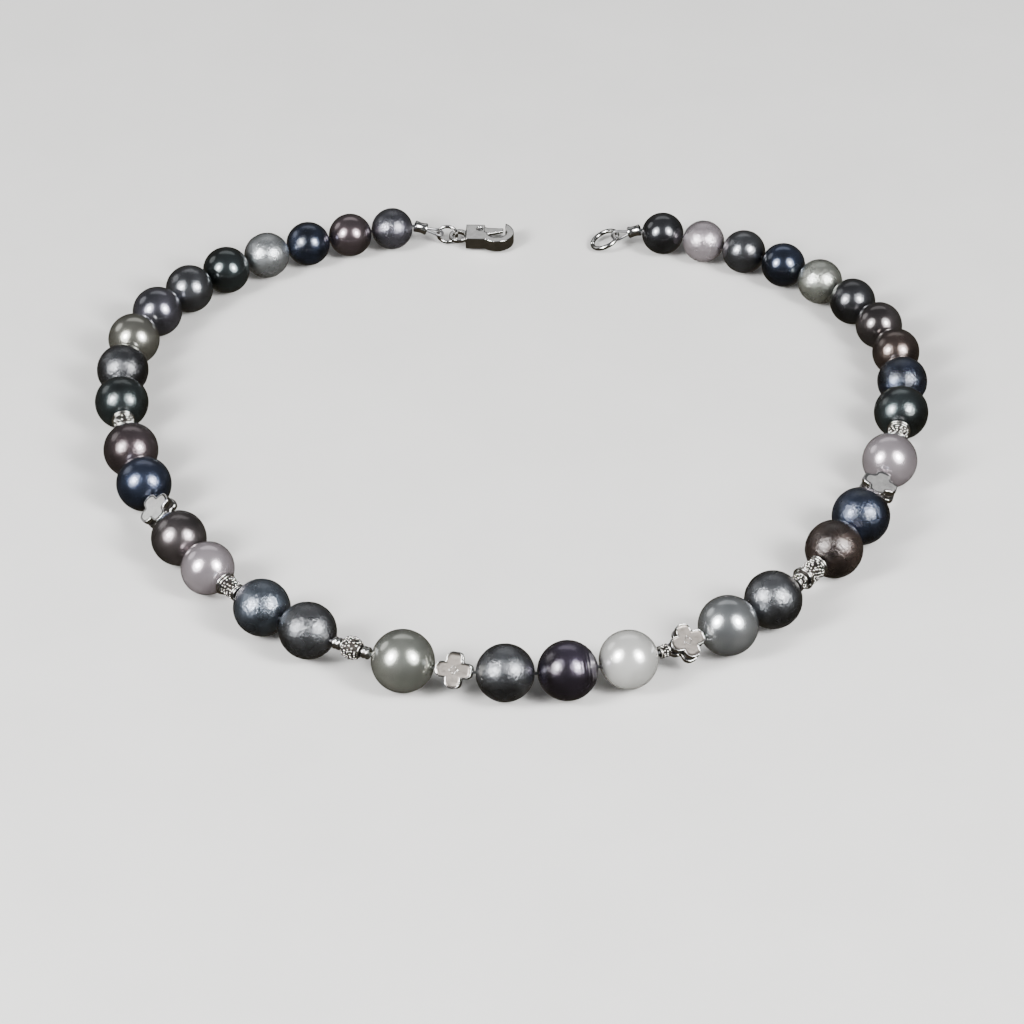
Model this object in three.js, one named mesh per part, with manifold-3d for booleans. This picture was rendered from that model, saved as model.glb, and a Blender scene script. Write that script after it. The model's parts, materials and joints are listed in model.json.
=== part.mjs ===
// A strand of graduated dark pearls with granulated silver drums, silver clovers and small silver
// spacers, strung on beading wire, with an undone lobster clasp. It lies as a loop on a flat surface.
// Millimetres, +Z up, +X to the wearer's left, front of the loop at -Y, origin under the loop's middle.
import * as THREE from "three";
import { mergeVertices } from "three/addons/utils/BufferGeometryUtils.js";
import Module from "manifold-3d";

const wasm = await Module();
wasm.setup();

// ---- driving sizes -------------------------------------------------------------------------
const PEARL_SCALE = 1; // every pearl diameter below is multiplied by this
const BEAD_GAP = 0.5; // between the drilled end faces of two neighbours that can bend
const SEAT_GAP = 0.3; // between metal pieces that sit flat on each other
const WIRE_RADIUS = 0.25;
const WIRE_PLAY = 0.3; // between the wire and a bead's bore
const DRILLED_FLAT = 1.1; // radius of the flat around a pearl's drill hole
const FRONT_RATIO = 1.23; // depth of the loop in front of its widest line, per half width
const BACK_RATIO = 0.68; // the same behind it
const FRONT_OFFSET = -1.2; // where the middle of the front pearl lies across the loop
const CLASP_SPAN = 44; // between the two last pearls, across the undone clasp

const DRUM = { radius: 2.15, rimWidth: 0.5, rimDepth: 0.25 };
const CLOVER = { lobeRadius: 1.45, lobeOffset: 1.8, thickness: 3.0, bevel: 0.25 };
const SPACER_EDGE = { ring: 0.3, rondelle: 0.5 };
const CRIMP = {
  start: 0.35, // from the middle of the last gap
  length: 2.4,
  wall: 0.37,
  edge: 0.2,
  play: 0.17, // between its bore and the two strands of wire in it
  strandGap: 0.22, // between those two strands
  strandEnd: 0.5, // from the crimp's inner end to where the strand starts
  tailEnd: 0.3, // the same for the wire's tail
  reach: 3.2, // from its outer end to the end of the wire loop
};
const JUMP_RING = { radius: 1.8, wire: 0.35, lean: 12.8 }; // degrees down to the clasp's side
const CATCH_RING = { radius: 2.6, wire: 0.45 };
const CLASP = {
  thickness: 2.4,
  eyeHole: 1.1,
  eyeWall: 0.8,
  eyeThickness: 0.8,
  trunkStart: 1.4, // from the eye's middle
  trunkEnd: 5.4, // from the eye's middle to where the mouth starts
  trunkBelow: 2.5, // from the middle line to the trunk's solid side
  trunkAbove: 2.3, // and to the lever's side
  mouthRadius: 1.9,
  hookWall: 1.4,
  gateLap: 0.4, // how far the open gate cuts back into the trunk
  gateReach: 1.6, // and how far it goes past the mouth's middle
  slotStart: 2.4, // from the eye's middle
  slotDepth: 0.6, // from the middle line into the solid side
  pivotX: 4.0,
  pivotY: 1.0,
  pinRadius: 0.3,
  pinPlay: 0.3,
  leverThickness: 0.6,
  leverPlay: 0.3, // on each side of the lever in its slot
};
// The lever's sides as steps from its pivot: its heel end, then its back.
const LEVER_HEEL = { back: 0.9, below: 0.9, front: 1.1, frontBelow: 0.6 };
const LEVER_TIP = { reach: 1.2, above: 0.1, half: 0.5 }; // past the mouth's middle and over its edge
const LEVER_BACK = { kneeX: 1.4, kneeRise: 0.6, thumbX: 0.2, thumbRise: 1.6, endRise: 1.4 };
const SPRING = { turns: 2.5, radius: 0.32, squash: 0.6, wire: 0.09, length: 0.7, x: 2.76 };
const RING_PLAY = 0.3; // between a ring and what it hangs in
const LIFT = 0.05; // the rings lie this far above the surface

const boreRadius = WIRE_RADIUS + WIRE_PLAY;

const PEARL_SIDES = 10;
const PEARL_BANDS = 5; // from one drilled flat to the other
const METAL_SIDES = 12;
const HOLE_SIDES = 8;
const WIRE_SIDES = 6;
const WIRE_LOOP_STEPS = 8;
const RING_SIDES = { section: 6, round: 18 };
const CLASP_SIDES = { eye: 16, eyeHole: 12, mouth: 16, hook: 24 };
const SPRING_SIDES = { section: 5, steps: 26 };
const ARC_STEPS = 6;
const BISECTIONS = 60;

// ---- colours -------------------------------------------------------------------------------
const COLOURS = {
  slate: 0x77787f,
  olive_silver: 0x85857a,
  black: 0x1c1d1f,
  black_green: 0x1f2624,
  aubergine: 0x4c3d40,
  black_blue: 0x22252b,
  grey_brown: 0x45403d,
  lavender: 0xa19ba0,
  blue_grey: 0x3d4248,
  charcoal: 0x3a3a3c,
  silver_green: 0x8f938d,
  purple_black: 0x2f272e,
  white_silver: 0xb9b9b9,
  silver_grey: 0x909296,
  dark_brown: 0x362f2c,
};

function nacre(colour) {
  return new THREE.MeshStandardMaterial({ color: COLOURS[colour], roughness: 0.25, metalness: 0.1 });
}

function metal(colour, roughness) {
  return new THREE.MeshStandardMaterial({ color: colour, roughness, metalness: 1 });
}

const polished = () => metal(0xd8d8d6, 0.12);
const oxidised = () => metal(0x9a9894, 0.35);
const steel = () => metal(0xb4b6b8, 0.3);

// ---- the strand, from the front pearl outwards on each side ----------------------------------
const pearl = (diameter, colour) => ({ kind: "pearl", diameter, colour });
const drum = (length, start = 1, end = 1) => ({ kind: "drum", length, start, end });
const clover = (roll) => ({ kind: "clover", roll });
const spacer = (length, radius, shape) => ({ kind: "spacer", length, radius, shape });

const FRONT = pearl(10.4, "charcoal");
const LEFT = [
  [clover(40)],
  [pearl(11.3, "silver_green")],
  [spacer(1.5, 1.15, "ring"), spacer(3.6, 2.2, "ball"), spacer(1.5, 1.15, "ring")],
  [pearl(10.5, "charcoal")],
  [pearl(10.3, "blue_grey")],
  [drum(4.2, 0.76, 1)],
  [pearl(9.9, "lavender")],
  [pearl(10.1, "grey_brown")],
  [clover(50)],
  [pearl(10.1, "black_blue")],
  [pearl(10.2, "aubergine")],
  [drum(3.9)],
  [pearl(10.0, "black_green")],
  [pearl(9.8, "black")],
  [pearl(9.7, "olive_silver")],
  [pearl(9.4, "slate")],
  [pearl(9.1, "charcoal")],
  [pearl(8.9, "black_green")],
  [pearl(8.7, "silver_grey")],
  [pearl(8.4, "black_blue")],
  [pearl(8.2, "aubergine")],
  [pearl(8.0, "slate")],
];
const RIGHT = [
  [pearl(10.9, "purple_black")],
  [pearl(10.6, "white_silver")],
  [spacer(1.8, 1.35, "rondelle"), clover(60)],
  [pearl(10.8, "silver_grey")],
  [pearl(10.5, "charcoal")],
  [spacer(2.0, 1.75, "rondelle"), drum(4.8)],
  [pearl(10.6, "dark_brown")],
  [pearl(10.6, "black_blue")],
  [clover(76)],
  [pearl(10.1, "lavender")],
  [drum(4.2)],
  [pearl(10.1, "black_green")],
  [pearl(9.4, "black_blue")],
  [pearl(8.9, "dark_brown")],
  [pearl(8.8, "grey_brown")],
  [pearl(8.7, "black")],
  [pearl(8.6, "silver_green")],
  [pearl(8.4, "black_blue")],
  [pearl(8.3, "charcoal")],
  [pearl(8.1, "lavender")],
  [pearl(8.0, "black")],
];

function pearlRadius(piece) {
  return (piece.diameter * PEARL_SCALE) / 2;
}

function lengthOf(piece) {
  if (piece.kind === "pearl") return 2 * Math.sqrt(pearlRadius(piece) ** 2 - DRILLED_FLAT ** 2);
  if (piece.kind === "clover") return 2 * (CLOVER.lobeOffset + CLOVER.lobeRadius);
  return piece.length;
}

function groupLength(group) {
  return group.reduce((sum, piece) => sum + lengthOf(piece), 0) + SEAT_GAP * (group.length - 1);
}

// ---- closed shapes ---------------------------------------------------------------------------
// A turned piece whose axis is X and one of whose flat sides faces +Z. The profile runs up the
// outside as [along, radius] pairs, and the bore closes it.
function turned(outline, bore, sides) {
  const points = outline.map(([along, radius]) => new THREE.Vector2(radius, along));
  points.push(new THREE.Vector2(bore, outline[outline.length - 1][0]));
  points.push(new THREE.Vector2(bore, outline[0][0]));
  points.push(points[0].clone());
  const geometry = new THREE.LatheGeometry(points, sides, -Math.PI / sides, 2 * Math.PI);
  geometry.rotateZ(-Math.PI / 2);
  return geometry;
}

// A drilled ball. Its sides are pushed out until the widest flats touch the round surface.
function pearlShape(radius, flat, sides) {
  const first = Math.asin(flat / radius);
  const step = (Math.PI - 2 * first) / PEARL_BANDS;
  const push = 1 / (Math.cos(Math.PI / sides) * Math.cos(step / 2));
  const outline = [];
  for (let i = 0; i <= PEARL_BANDS; i++) {
    const angle = first + step * i;
    outline.push([-radius * Math.cos(angle), radius * Math.sin(angle) * push]);
  }
  return turned(outline, boreRadius, sides);
}

function drumShape({ length, start, end }) {
  const half = length / 2;
  const { radius, rimWidth, rimDepth } = DRUM;
  const from = radius * start;
  const to = radius * end;
  return turned(
    [
      [-half, from - rimDepth],
      [-half + rimWidth / 2, from],
      [-half + rimWidth, from - rimDepth],
      [half - rimWidth, to - rimDepth],
      [half - rimWidth / 2, to],
      [half, to - rimDepth],
    ],
    boreRadius,
    METAL_SIDES,
  );
}

function spacerShape({ length, radius, shape }) {
  const half = length / 2;
  if (shape === "ball") return pearlShape(radius, Math.sqrt(radius ** 2 - half ** 2), METAL_SIDES);
  const edge = SPACER_EDGE[shape];
  return turned(
    [
      [-half, radius - edge],
      [-half + edge / 2, radius],
      [half - edge / 2, radius],
      [half, radius - edge],
    ],
    boreRadius,
    METAL_SIDES,
  );
}

// The boolean library works on closed meshes with shared corners.
function toSolid(geometry) {
  const bare = geometry.clone();
  bare.deleteAttribute("normal");
  bare.deleteAttribute("uv");
  const merged = mergeVertices(bare, 1e-5);
  const mesh = new wasm.Mesh({
    numProp: 3,
    vertProperties: new Float32Array(merged.attributes.position.array),
    triVerts: new Uint32Array(merged.index.array),
  });
  return new wasm.Manifold(mesh);
}

function toGeometry(solid) {
  const mesh = solid.getMesh();
  const geometry = new THREE.BufferGeometry();
  geometry.setAttribute("position", new THREE.BufferAttribute(new Float32Array(mesh.vertProperties), 3));
  geometry.setIndex(new THREE.BufferAttribute(new Uint32Array(mesh.triVerts), 1));
  geometry.computeVertexNormals();
  return geometry;
}

function rodAlongX(radius, length, sides) {
  return new THREE.CylinderGeometry(radius, radius, length, sides).rotateZ(Math.PI / 2);
}

function rodAlongZ(radius, length, sides, x, y) {
  const rod = new THREE.CylinderGeometry(radius, radius, length, sides).rotateX(Math.PI / 2);
  return rod.translate(x, y, 0);
}

// Four round lobes, strung through two opposite ones along X, with the flat face towards +Y.
function cloverShape() {
  const { lobeRadius, lobeOffset, thickness, bevel } = CLOVER;
  const half = Math.acos(lobeOffset / Math.SQRT2 / lobeRadius);
  const reach = (3 * Math.PI) / 4 - half;
  const outline = new THREE.Shape();
  for (let lobe = 0; lobe < 4; lobe++) {
    const turn = (lobe * Math.PI) / 2;
    const x = lobeOffset * Math.cos(turn);
    const y = lobeOffset * Math.sin(turn);
    outline.absarc(x, y, lobeRadius - bevel, turn - reach, turn + reach, false);
  }
  const geometry = new THREE.ExtrudeGeometry(outline, {
    depth: thickness - 2 * bevel,
    bevelThickness: bevel,
    bevelSize: bevel,
    bevelSegments: 1,
    curveSegments: ARC_STEPS,
  });
  geometry.translate(0, 0, bevel - thickness / 2);
  geometry.rotateX(-Math.PI / 2);
  const drill = toSolid(rodAlongX(boreRadius, 4 * (lobeOffset + lobeRadius), HOLE_SIDES));
  return toGeometry(toSolid(geometry).subtract(drill));
}

// A path straight from point to point, with one ring of the tube at each point.
class Route extends THREE.Curve {
  constructor(points) {
    super();
    this.points = points;
  }

  getPointAt(share) {
    return this.points[Math.round(share * (this.points.length - 1))].clone();
  }

  getTangentAt(share) {
    const i = Math.round(share * (this.points.length - 1));
    const before = this.points[Math.max(i - 1, 0)];
    const after = this.points[Math.min(i + 1, this.points.length - 1)];
    const [arriving, leaving] = [this.points[i].clone().sub(before), after.clone().sub(this.points[i])];
    return arriving.normalize().add(leaving.normalize()).normalize();
  }

  getSpacedPoints() {
    return this.points.map((point) => point.clone());
  }
}

function tube(points, radius, sides) {
  const section = new THREE.Shape();
  for (let i = 0; i < sides; i++) {
    const angle = (2 * Math.PI * i) / sides;
    const [x, y] = [radius * Math.cos(angle), radius * Math.sin(angle)];
    if (i === 0) section.moveTo(x, y);
    else section.lineTo(x, y);
  }
  return new THREE.ExtrudeGeometry(section, { steps: points.length - 1, extrudePath: new Route(points) });
}

// ---- the loop --------------------------------------------------------------------------------
function loopPoint(turn, halfWidth) {
  const depth = Math.cos(turn) >= 0 ? FRONT_RATIO : BACK_RATIO;
  return new THREE.Vector2(halfWidth * Math.sin(turn), -depth * halfWidth * Math.cos(turn));
}

function bisect(low, high, isBelow) {
  for (let i = 0; i < BISECTIONS; i++) {
    const middle = (low + high) / 2;
    if (isBelow(middle)) low = middle;
    else high = middle;
  }
  return (low + high) / 2;
}

// The turn at which the loop is one straight distance on from where it was.
function stepAlong(turn, distance, sign, halfWidth) {
  const from = loopPoint(turn, halfWidth);
  const beyond = Math.asin(distance / halfWidth) / Math.min(BACK_RATIO, 1);
  const far = bisect(0, beyond, (d) => loopPoint(turn + sign * d, halfWidth).distanceTo(from) < distance);
  return turn + sign * far;
}

// The gap middles on one side, from the front pearl's end to the last pearl's.
function gapTurns(groups, sign, halfWidth) {
  const frontHalf = (lengthOf(FRONT) + BEAD_GAP) / 2;
  const turns = [Math.asin((FRONT_OFFSET + sign * frontHalf) / halfWidth)];
  for (const group of groups) {
    const last = turns[turns.length - 1];
    turns.push(stepAlong(last, groupLength(group) + BEAD_GAP, sign, halfWidth));
  }
  return turns;
}

function openingBetweenEnds(halfWidth) {
  const left = gapTurns(LEFT, -1, halfWidth).pop();
  const right = gapTurns(RIGHT, 1, halfWidth).pop();
  if (right - left >= 2 * Math.PI) return 0;
  return loopPoint(left, halfWidth).distanceTo(loopPoint(right, halfWidth));
}

const strandLength = [...LEFT, ...RIGHT, [FRONT]].reduce((sum, g) => sum + groupLength(g) + BEAD_GAP, 0);
const halfWidth = bisect(strandLength / 8, strandLength / 4, (h) => openingBetweenEnds(h) < CLASP_SPAN);

// Each gap lies as high as the pearls on its two sides, so that the pearls lie on the surface.
function gapPoints(groups, sign) {
  const radii = [FRONT, ...groups.map((group) => group[0])].map((piece) =>
    piece.kind === "pearl" ? pearlRadius(piece) : null,
  );
  const nearest = (from, by) => {
    let i = from;
    while (radii[i] === null) i += by;
    return radii[i];
  };
  return gapTurns(groups, sign, halfWidth).map((turn, i) => {
    const before = nearest(i, -1);
    const after = i + 1 < radii.length ? nearest(i + 1, 1) : before;
    const flat = loopPoint(turn, halfWidth);
    return new THREE.Vector3(flat.x, flat.y, (before + after) / 2);
  });
}

const leftGaps = gapPoints(LEFT, -1);
const rightGaps = gapPoints(RIGHT, 1);

// ---- assembly --------------------------------------------------------------------------------
const necklace = new THREE.Group();
necklace.name = "pearl_necklace";
const UP = new THREE.Vector3(0, 0, 1);

// Turns a piece so that its own X runs along the strand and its own Z stays as near up as it can.
function lay(object, at, along) {
  const x = along.clone().normalize();
  const y = new THREE.Vector3().crossVectors(UP, x).normalize();
  const z = new THREE.Vector3().crossVectors(x, y);
  object.quaternion.setFromRotationMatrix(new THREE.Matrix4().makeBasis(x, y, z));
  object.position.copy(at);
}

function addMesh(name, geometry, material, parent = necklace) {
  const mesh = new THREE.Mesh(geometry, material);
  mesh.name = name;
  parent.add(mesh);
  return mesh;
}

const kinds = ["pearl", "drum", "clover", "spacer"];
const leftCount = Object.fromEntries(kinds.map((k) => [k, LEFT.flat().filter((p) => p.kind === k).length]));

// Pieces are numbered round the loop from the left end to the right end.
function nameOf(kind, side, order) {
  const front = kind === "pearl" ? 1 : 0;
  const n = side < 0 ? leftCount[kind] - order : leftCount[kind] + front + order + 1;
  return `${kind}_${String(n).padStart(2, "0")}`;
}

function shapeOf(piece) {
  if (piece.kind === "pearl") return pearlShape(pearlRadius(piece), DRILLED_FLAT, PEARL_SIDES);
  if (piece.kind === "drum") return drumShape(piece);
  if (piece.kind === "clover") return cloverShape();
  return spacerShape(piece);
}

function materialOf(piece) {
  if (piece.kind === "pearl") return nacre(piece.colour);
  return piece.kind === "clover" || piece.shape === "ring" ? polished() : oxidised();
}

// On both sides a piece's own X points to the right end, so the outside of the loop is its own -Y.
function strungPiece(piece, name, at, along) {
  const mesh = addMesh(name, shapeOf(piece), materialOf(piece));
  lay(mesh, at, along);
  if (piece.kind === "clover") mesh.rotateX(Math.PI - (piece.roll * Math.PI) / 180);
  return mesh;
}

function stringSide(groups, gaps, side) {
  const seen = Object.fromEntries(kinds.map((k) => [k, 0]));
  groups.forEach((group, i) => {
    const [from, to] = [gaps[i], gaps[i + 1]];
    const outward = to.clone().sub(from).normalize();
    let reached = from.distanceTo(to) / 2 - groupLength(group) / 2;
    for (const piece of group) {
      const length = lengthOf(piece);
      const at = from.clone().addScaledVector(outward, reached + length / 2);
      const name = nameOf(piece.kind, side, seen[piece.kind]++);
      strungPiece(piece, name, at, outward.clone().multiplyScalar(side));
      reached += length + SEAT_GAP;
    }
  });
}

const frontAt = leftGaps[0].clone().add(rightGaps[0]).multiplyScalar(0.5);
const frontName = `pearl_${String(leftCount.pearl + 1).padStart(2, "0")}`;
strungPiece(FRONT, frontName, frontAt, rightGaps[0].clone().sub(leftGaps[0]));
stringSide(LEFT, leftGaps, -1);
stringSide(RIGHT, rightGaps, 1);

// ---- the two ends ------------------------------------------------------------------------------
// Each end has its own frame: origin at the last gap, X towards the other end, level.
function endFrame(end, other) {
  const frame = new THREE.Group();
  const along = other.clone().sub(end).setZ(0);
  lay(frame, end, along);
  necklace.add(frame);
  frame.updateMatrixWorld(true);
  return frame;
}

const leftEnd = leftGaps[leftGaps.length - 1];
const rightEnd = rightGaps[rightGaps.length - 1];
const leftFrame = endFrame(leftEnd, rightEnd);
const rightFrame = endFrame(rightEnd, leftEnd);

// The jump ring stands upright on the surface and leans down to the clasp's side. Heights are in the
// left end's frame.
const jumpMiddle = LIFT + JUMP_RING.wire + JUMP_RING.radius - leftEnd.z;
const jumpRise = JUMP_RING.radius * Math.sin((JUMP_RING.lean * Math.PI) / 180);

// The crimps slope down from the last gaps to where the jump ring hangs in its wire loop.
const loopEnd = CRIMP.length + CRIMP.reach;
const hangingReach = (ring) => loopEnd - WIRE_RADIUS - ring.wire - RING_PLAY;
const crimpSlope = Math.asin(-(jumpMiddle + jumpRise) / hangingReach(JUMP_RING));

function crimpPoint(along, aside = 0, above = 0) {
  const x = CRIMP.start + along * Math.cos(crimpSlope) + above * Math.sin(crimpSlope);
  const z = -along * Math.sin(crimpSlope) + above * Math.cos(crimpSlope);
  return new THREE.Vector3(x, aside, z);
}

// The two strands of wire lie side by side in the crimp.
const strandOffset = WIRE_RADIUS + CRIMP.strandGap / 2;
const crimpBore = strandOffset + WIRE_RADIUS + CRIMP.play;
const crimpRadius = crimpBore + CRIMP.wall;

function addCrimp(name, frame) {
  const half = CRIMP.length / 2;
  const shape = turned(
    [
      [-half, crimpRadius - CRIMP.edge],
      [-half + CRIMP.edge, crimpRadius],
      [half - CRIMP.edge, crimpRadius],
      [half, crimpRadius - CRIMP.edge],
    ],
    crimpBore,
    METAL_SIDES,
  );
  const mesh = addMesh(name, shape, polished(), frame);
  mesh.position.copy(crimpPoint(half));
  mesh.rotation.y = crimpSlope;
}

addCrimp("crimp_left", leftFrame);
addCrimp("crimp_right", rightFrame);

// The wire leaves the crimp, goes round the ring and back in beside itself.
const loopStart = CRIMP.length + CRIMP.edge;

function wireLoop(upright, ring) {
  const half = WIRE_RADIUS + ring.wire + RING_PLAY;
  const place = (along, across) => (upright ? crimpPoint(along, 0, across) : crimpPoint(along, across, 0));
  const points = [place(CRIMP.strandEnd, strandOffset), place(loopStart, strandOffset)];
  for (let i = 0; i <= WIRE_LOOP_STEPS; i++) {
    const angle = Math.PI / 2 - (Math.PI * i) / WIRE_LOOP_STEPS;
    points.push(place(loopEnd - half + half * Math.cos(angle), half * Math.sin(angle)));
  }
  points.push(place(loopStart, -strandOffset), place(CRIMP.tailEnd, -strandOffset));
  return points;
}

const toLoop = (frame, points) => points.map((p) => frame.localToWorld(p.clone()));
const route = [
  ...toLoop(leftFrame, wireLoop(false, JUMP_RING)),
  ...[...leftGaps].reverse(),
  ...rightGaps,
  ...toLoop(rightFrame, wireLoop(true, CATCH_RING)).reverse(),
];
addMesh("beading_wire", tube(route, WIRE_RADIUS, WIRE_SIDES), steel());

// A ring hangs in its wire loop at one point and slopes away from it to a given height.
function addRing(name, ring, frame, low, upright) {
  const near = crimpPoint(hangingReach(ring));
  const tilt = Math.asin((near.z - low) / (2 * ring.radius));
  const shape = new THREE.TorusGeometry(ring.radius, ring.wire, RING_SIDES.section, RING_SIDES.round);
  const mesh = addMesh(name, shape, polished(), frame);
  if (upright) mesh.rotation.x = Math.PI / 2;
  else mesh.rotation.y = tilt;
  const toMiddle = new THREE.Vector3(ring.radius * Math.cos(tilt), 0, -ring.radius * Math.sin(tilt));
  mesh.position.copy(near).add(toMiddle);
  return near.x + 2 * toMiddle.x;
}

// The clasp's eye is level with the jump ring's far side. The catch ring leans down to the surface.
const claspHeight = jumpMiddle - jumpRise;
const jumpFar = addRing("jump_ring", JUMP_RING, leftFrame, claspHeight, true);
addRing("catch_ring", CATCH_RING, rightFrame, LIFT + CATCH_RING.wire - rightEnd.z, false);

// ---- the lobster clasp, level, its own X from the eye to the hook ---------------------------------
const clasp = new THREE.Group();
clasp.position.set(jumpFar - JUMP_RING.wire + CLASP.eyeHole - RING_PLAY, 0, claspHeight);
leftFrame.add(clasp);

function slab(outline, thickness) {
  const geometry = new THREE.ExtrudeGeometry(outline, { depth: thickness, bevelEnabled: false });
  return geometry.translate(0, 0, -thickness / 2);
}

function outlineOf(corners) {
  return new THREE.Shape(corners.map(([x, y]) => new THREE.Vector2(x, y)));
}

function block(x0, x1, y0, y1, thickness) {
  return toSolid(slab(outlineOf([[x0, y0], [x1, y0], [x1, y1], [x0, y1]]), thickness));
}

function disc(radius, thickness, sides, x = 0, y = 0) {
  return toSolid(rodAlongZ(radius, thickness, sides, x, y));
}

const mouthX = CLASP.trunkEnd + CLASP.mouthRadius;
const hookRadius = CLASP.mouthRadius + CLASP.hookWall;
const pinHole = CLASP.pinRadius + CLASP.pinPlay;
const slotWidth = CLASP.leverThickness + 2 * CLASP.leverPlay;
const cut = 2 * CLASP.thickness; // through the casting with room to spare

// Eye, body and hook in one casting. The hook leaves on the -Y side and comes round to +Y.
function claspBody() {
  const { thickness, eyeHole, eyeWall, eyeThickness, trunkEnd, mouthRadius, gateLap, gateReach } = CLASP;
  const above = hookRadius + CLASP.slotDepth; // past the hook's +Y side
  const eye = disc(eyeHole + eyeWall, eyeThickness, CLASP_SIDES.eye);
  const trunkTo = mouthX - mouthRadius / 2;
  const trunk = block(CLASP.trunkStart, trunkTo, -CLASP.trunkBelow, CLASP.trunkAbove, thickness);
  const hook = disc(hookRadius, thickness, CLASP_SIDES.hook, mouthX);
  const mouth = disc(mouthRadius, cut, CLASP_SIDES.mouth, mouthX);
  const gate = block(trunkEnd - gateLap, mouthX + gateReach, 0, above, cut);
  const hole = disc(eyeHole, cut, CLASP_SIDES.eyeHole);
  const slot = block(CLASP.slotStart, mouthX, -CLASP.slotDepth, above, slotWidth);
  const pin = disc(pinHole, cut, HOLE_SIDES, CLASP.pivotX, CLASP.pivotY);
  return eye.add(trunk).add(hook).subtract(mouth).subtract(gate).subtract(hole).subtract(slot).subtract(pin);
}

function claspLever() {
  const { pivotX, pivotY, leverThickness, mouthRadius } = CLASP;
  const heelX = pivotX - LEVER_HEEL.back;
  const tipX = mouthX + LEVER_TIP.reach;
  const tipY = mouthRadius + LEVER_TIP.above;
  const outline = outlineOf([
    [heelX, pivotY - LEVER_HEEL.below],
    [pivotX + LEVER_HEEL.front, pivotY - LEVER_HEEL.frontBelow],
    [tipX, tipY - LEVER_TIP.half],
    [tipX, tipY + LEVER_TIP.half],
    [pivotX + LEVER_BACK.kneeX, tipY + LEVER_BACK.kneeRise],
    [pivotX + LEVER_BACK.thumbX, mouthRadius + LEVER_BACK.thumbRise],
    [heelX, mouthRadius + LEVER_BACK.endRise],
  ]);
  return toSolid(slab(outline, leverThickness)).subtract(disc(pinHole, cut, HOLE_SIDES, pivotX, pivotY));
}

// A coil lying across the lever's heel, flattened to fit between the heel and the slot's end.
function claspSpring() {
  const points = [];
  for (let i = 0; i <= SPRING_SIDES.steps; i++) {
    const share = i / SPRING_SIDES.steps;
    const angle = 2 * Math.PI * SPRING.turns * share;
    const x = SPRING.x + SPRING.radius * SPRING.squash * Math.cos(angle);
    points.push(new THREE.Vector3(x, (share - 0.5) * SPRING.length, SPRING.radius * Math.sin(angle)));
  }
  return tube(points, SPRING.wire, SPRING_SIDES.section);
}

addMesh("clasp_body", toGeometry(claspBody()), polished(), clasp);
addMesh("clasp_lever", toGeometry(claspLever()), polished(), clasp);
const pinShape = rodAlongZ(CLASP.pinRadius, CLASP.thickness, HOLE_SIDES, CLASP.pivotX, CLASP.pivotY);
addMesh("clasp_pin", pinShape, steel(), clasp);
addMesh("clasp_spring", claspSpring(), steel(), clasp);

// ---- the origin goes under the middle of everything --------------------------------------------
necklace.updateMatrixWorld(true);
const box = new THREE.Box3().setFromObject(necklace, true);
const middle = box.getCenter(new THREE.Vector3());
for (const child of necklace.children) child.position.sub(new THREE.Vector3(middle.x, middle.y, box.min.z));
necklace.updateMatrixWorld(true);

export default necklace;
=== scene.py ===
"""A strand of dark pearls and silver beads: its finished surfaces, floor, lights and camera."""

import json
import math

import bpy
import numpy as np
from mathutils import Matrix, Vector

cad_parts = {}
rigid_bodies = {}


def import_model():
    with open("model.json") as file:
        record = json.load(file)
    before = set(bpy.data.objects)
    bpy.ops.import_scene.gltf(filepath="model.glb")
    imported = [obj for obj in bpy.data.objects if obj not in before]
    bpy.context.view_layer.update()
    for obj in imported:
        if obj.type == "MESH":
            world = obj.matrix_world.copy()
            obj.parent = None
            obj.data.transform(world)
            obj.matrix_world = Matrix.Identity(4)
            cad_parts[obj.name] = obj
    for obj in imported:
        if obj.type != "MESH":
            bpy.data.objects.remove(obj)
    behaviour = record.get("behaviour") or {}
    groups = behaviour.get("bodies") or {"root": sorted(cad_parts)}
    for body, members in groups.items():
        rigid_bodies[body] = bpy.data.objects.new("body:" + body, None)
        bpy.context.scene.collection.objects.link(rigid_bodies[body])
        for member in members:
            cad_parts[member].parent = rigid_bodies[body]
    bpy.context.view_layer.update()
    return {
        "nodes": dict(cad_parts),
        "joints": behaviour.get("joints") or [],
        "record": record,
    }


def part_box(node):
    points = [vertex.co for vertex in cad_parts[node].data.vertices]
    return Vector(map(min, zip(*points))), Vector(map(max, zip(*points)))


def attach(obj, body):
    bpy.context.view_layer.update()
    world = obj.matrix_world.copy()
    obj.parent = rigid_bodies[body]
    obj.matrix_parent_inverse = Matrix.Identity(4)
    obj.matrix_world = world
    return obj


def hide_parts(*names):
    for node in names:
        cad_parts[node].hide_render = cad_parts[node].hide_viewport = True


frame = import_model()

MM = 0.001
SEED = 4107

# ---- sizes, in millimetres --------------------------------------------------------------------
CRIMP_START = 0.35  # from the middle of the last gap to the crimp
DRILLED_FLAT = 1.1  # radius of the flat at a pearl's drill hole in the frame
PEARL_HOLE = 0.42
PEARL_HOLE_DEPTH = 1.3
PEARL_LIP = 0.06  # from the edge of the skin in to the hole's mouth
WIRE = 0.25
METAL_BORE = 0.5
DRUM = {"radius": 2.15, "rim": 0.17, "gap": 0.18, "second": 0.14, "second_in": 0.12,
        "core_short": 0.1, "core_in": 0.62, "grain_in": 0.36}
BALL = {"radius": 2.2, "rim": 0.13, "rim_in": 0.08, "core_in": 0.45, "grain_in": 0.28, "bare": 0.25}
RONDELLE = {"rim": 0.17, "rim_in": 0.34, "core_in": 0.6, "grain_in": 0.34}
RONDELLE_RADIUS = {"spacer_04": 1.35, "spacer_05": 1.75}
RING = {"neck": 0.83, "ridge": 0.3}
CLOVER = {"offset": 1.8, "end": 1.45, "side": 1.42, "half": 1.5, "wobble": 0.018}
COLLAR = {"in": 0.06, "radius": 0.52, "wire": 0.12}
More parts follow.
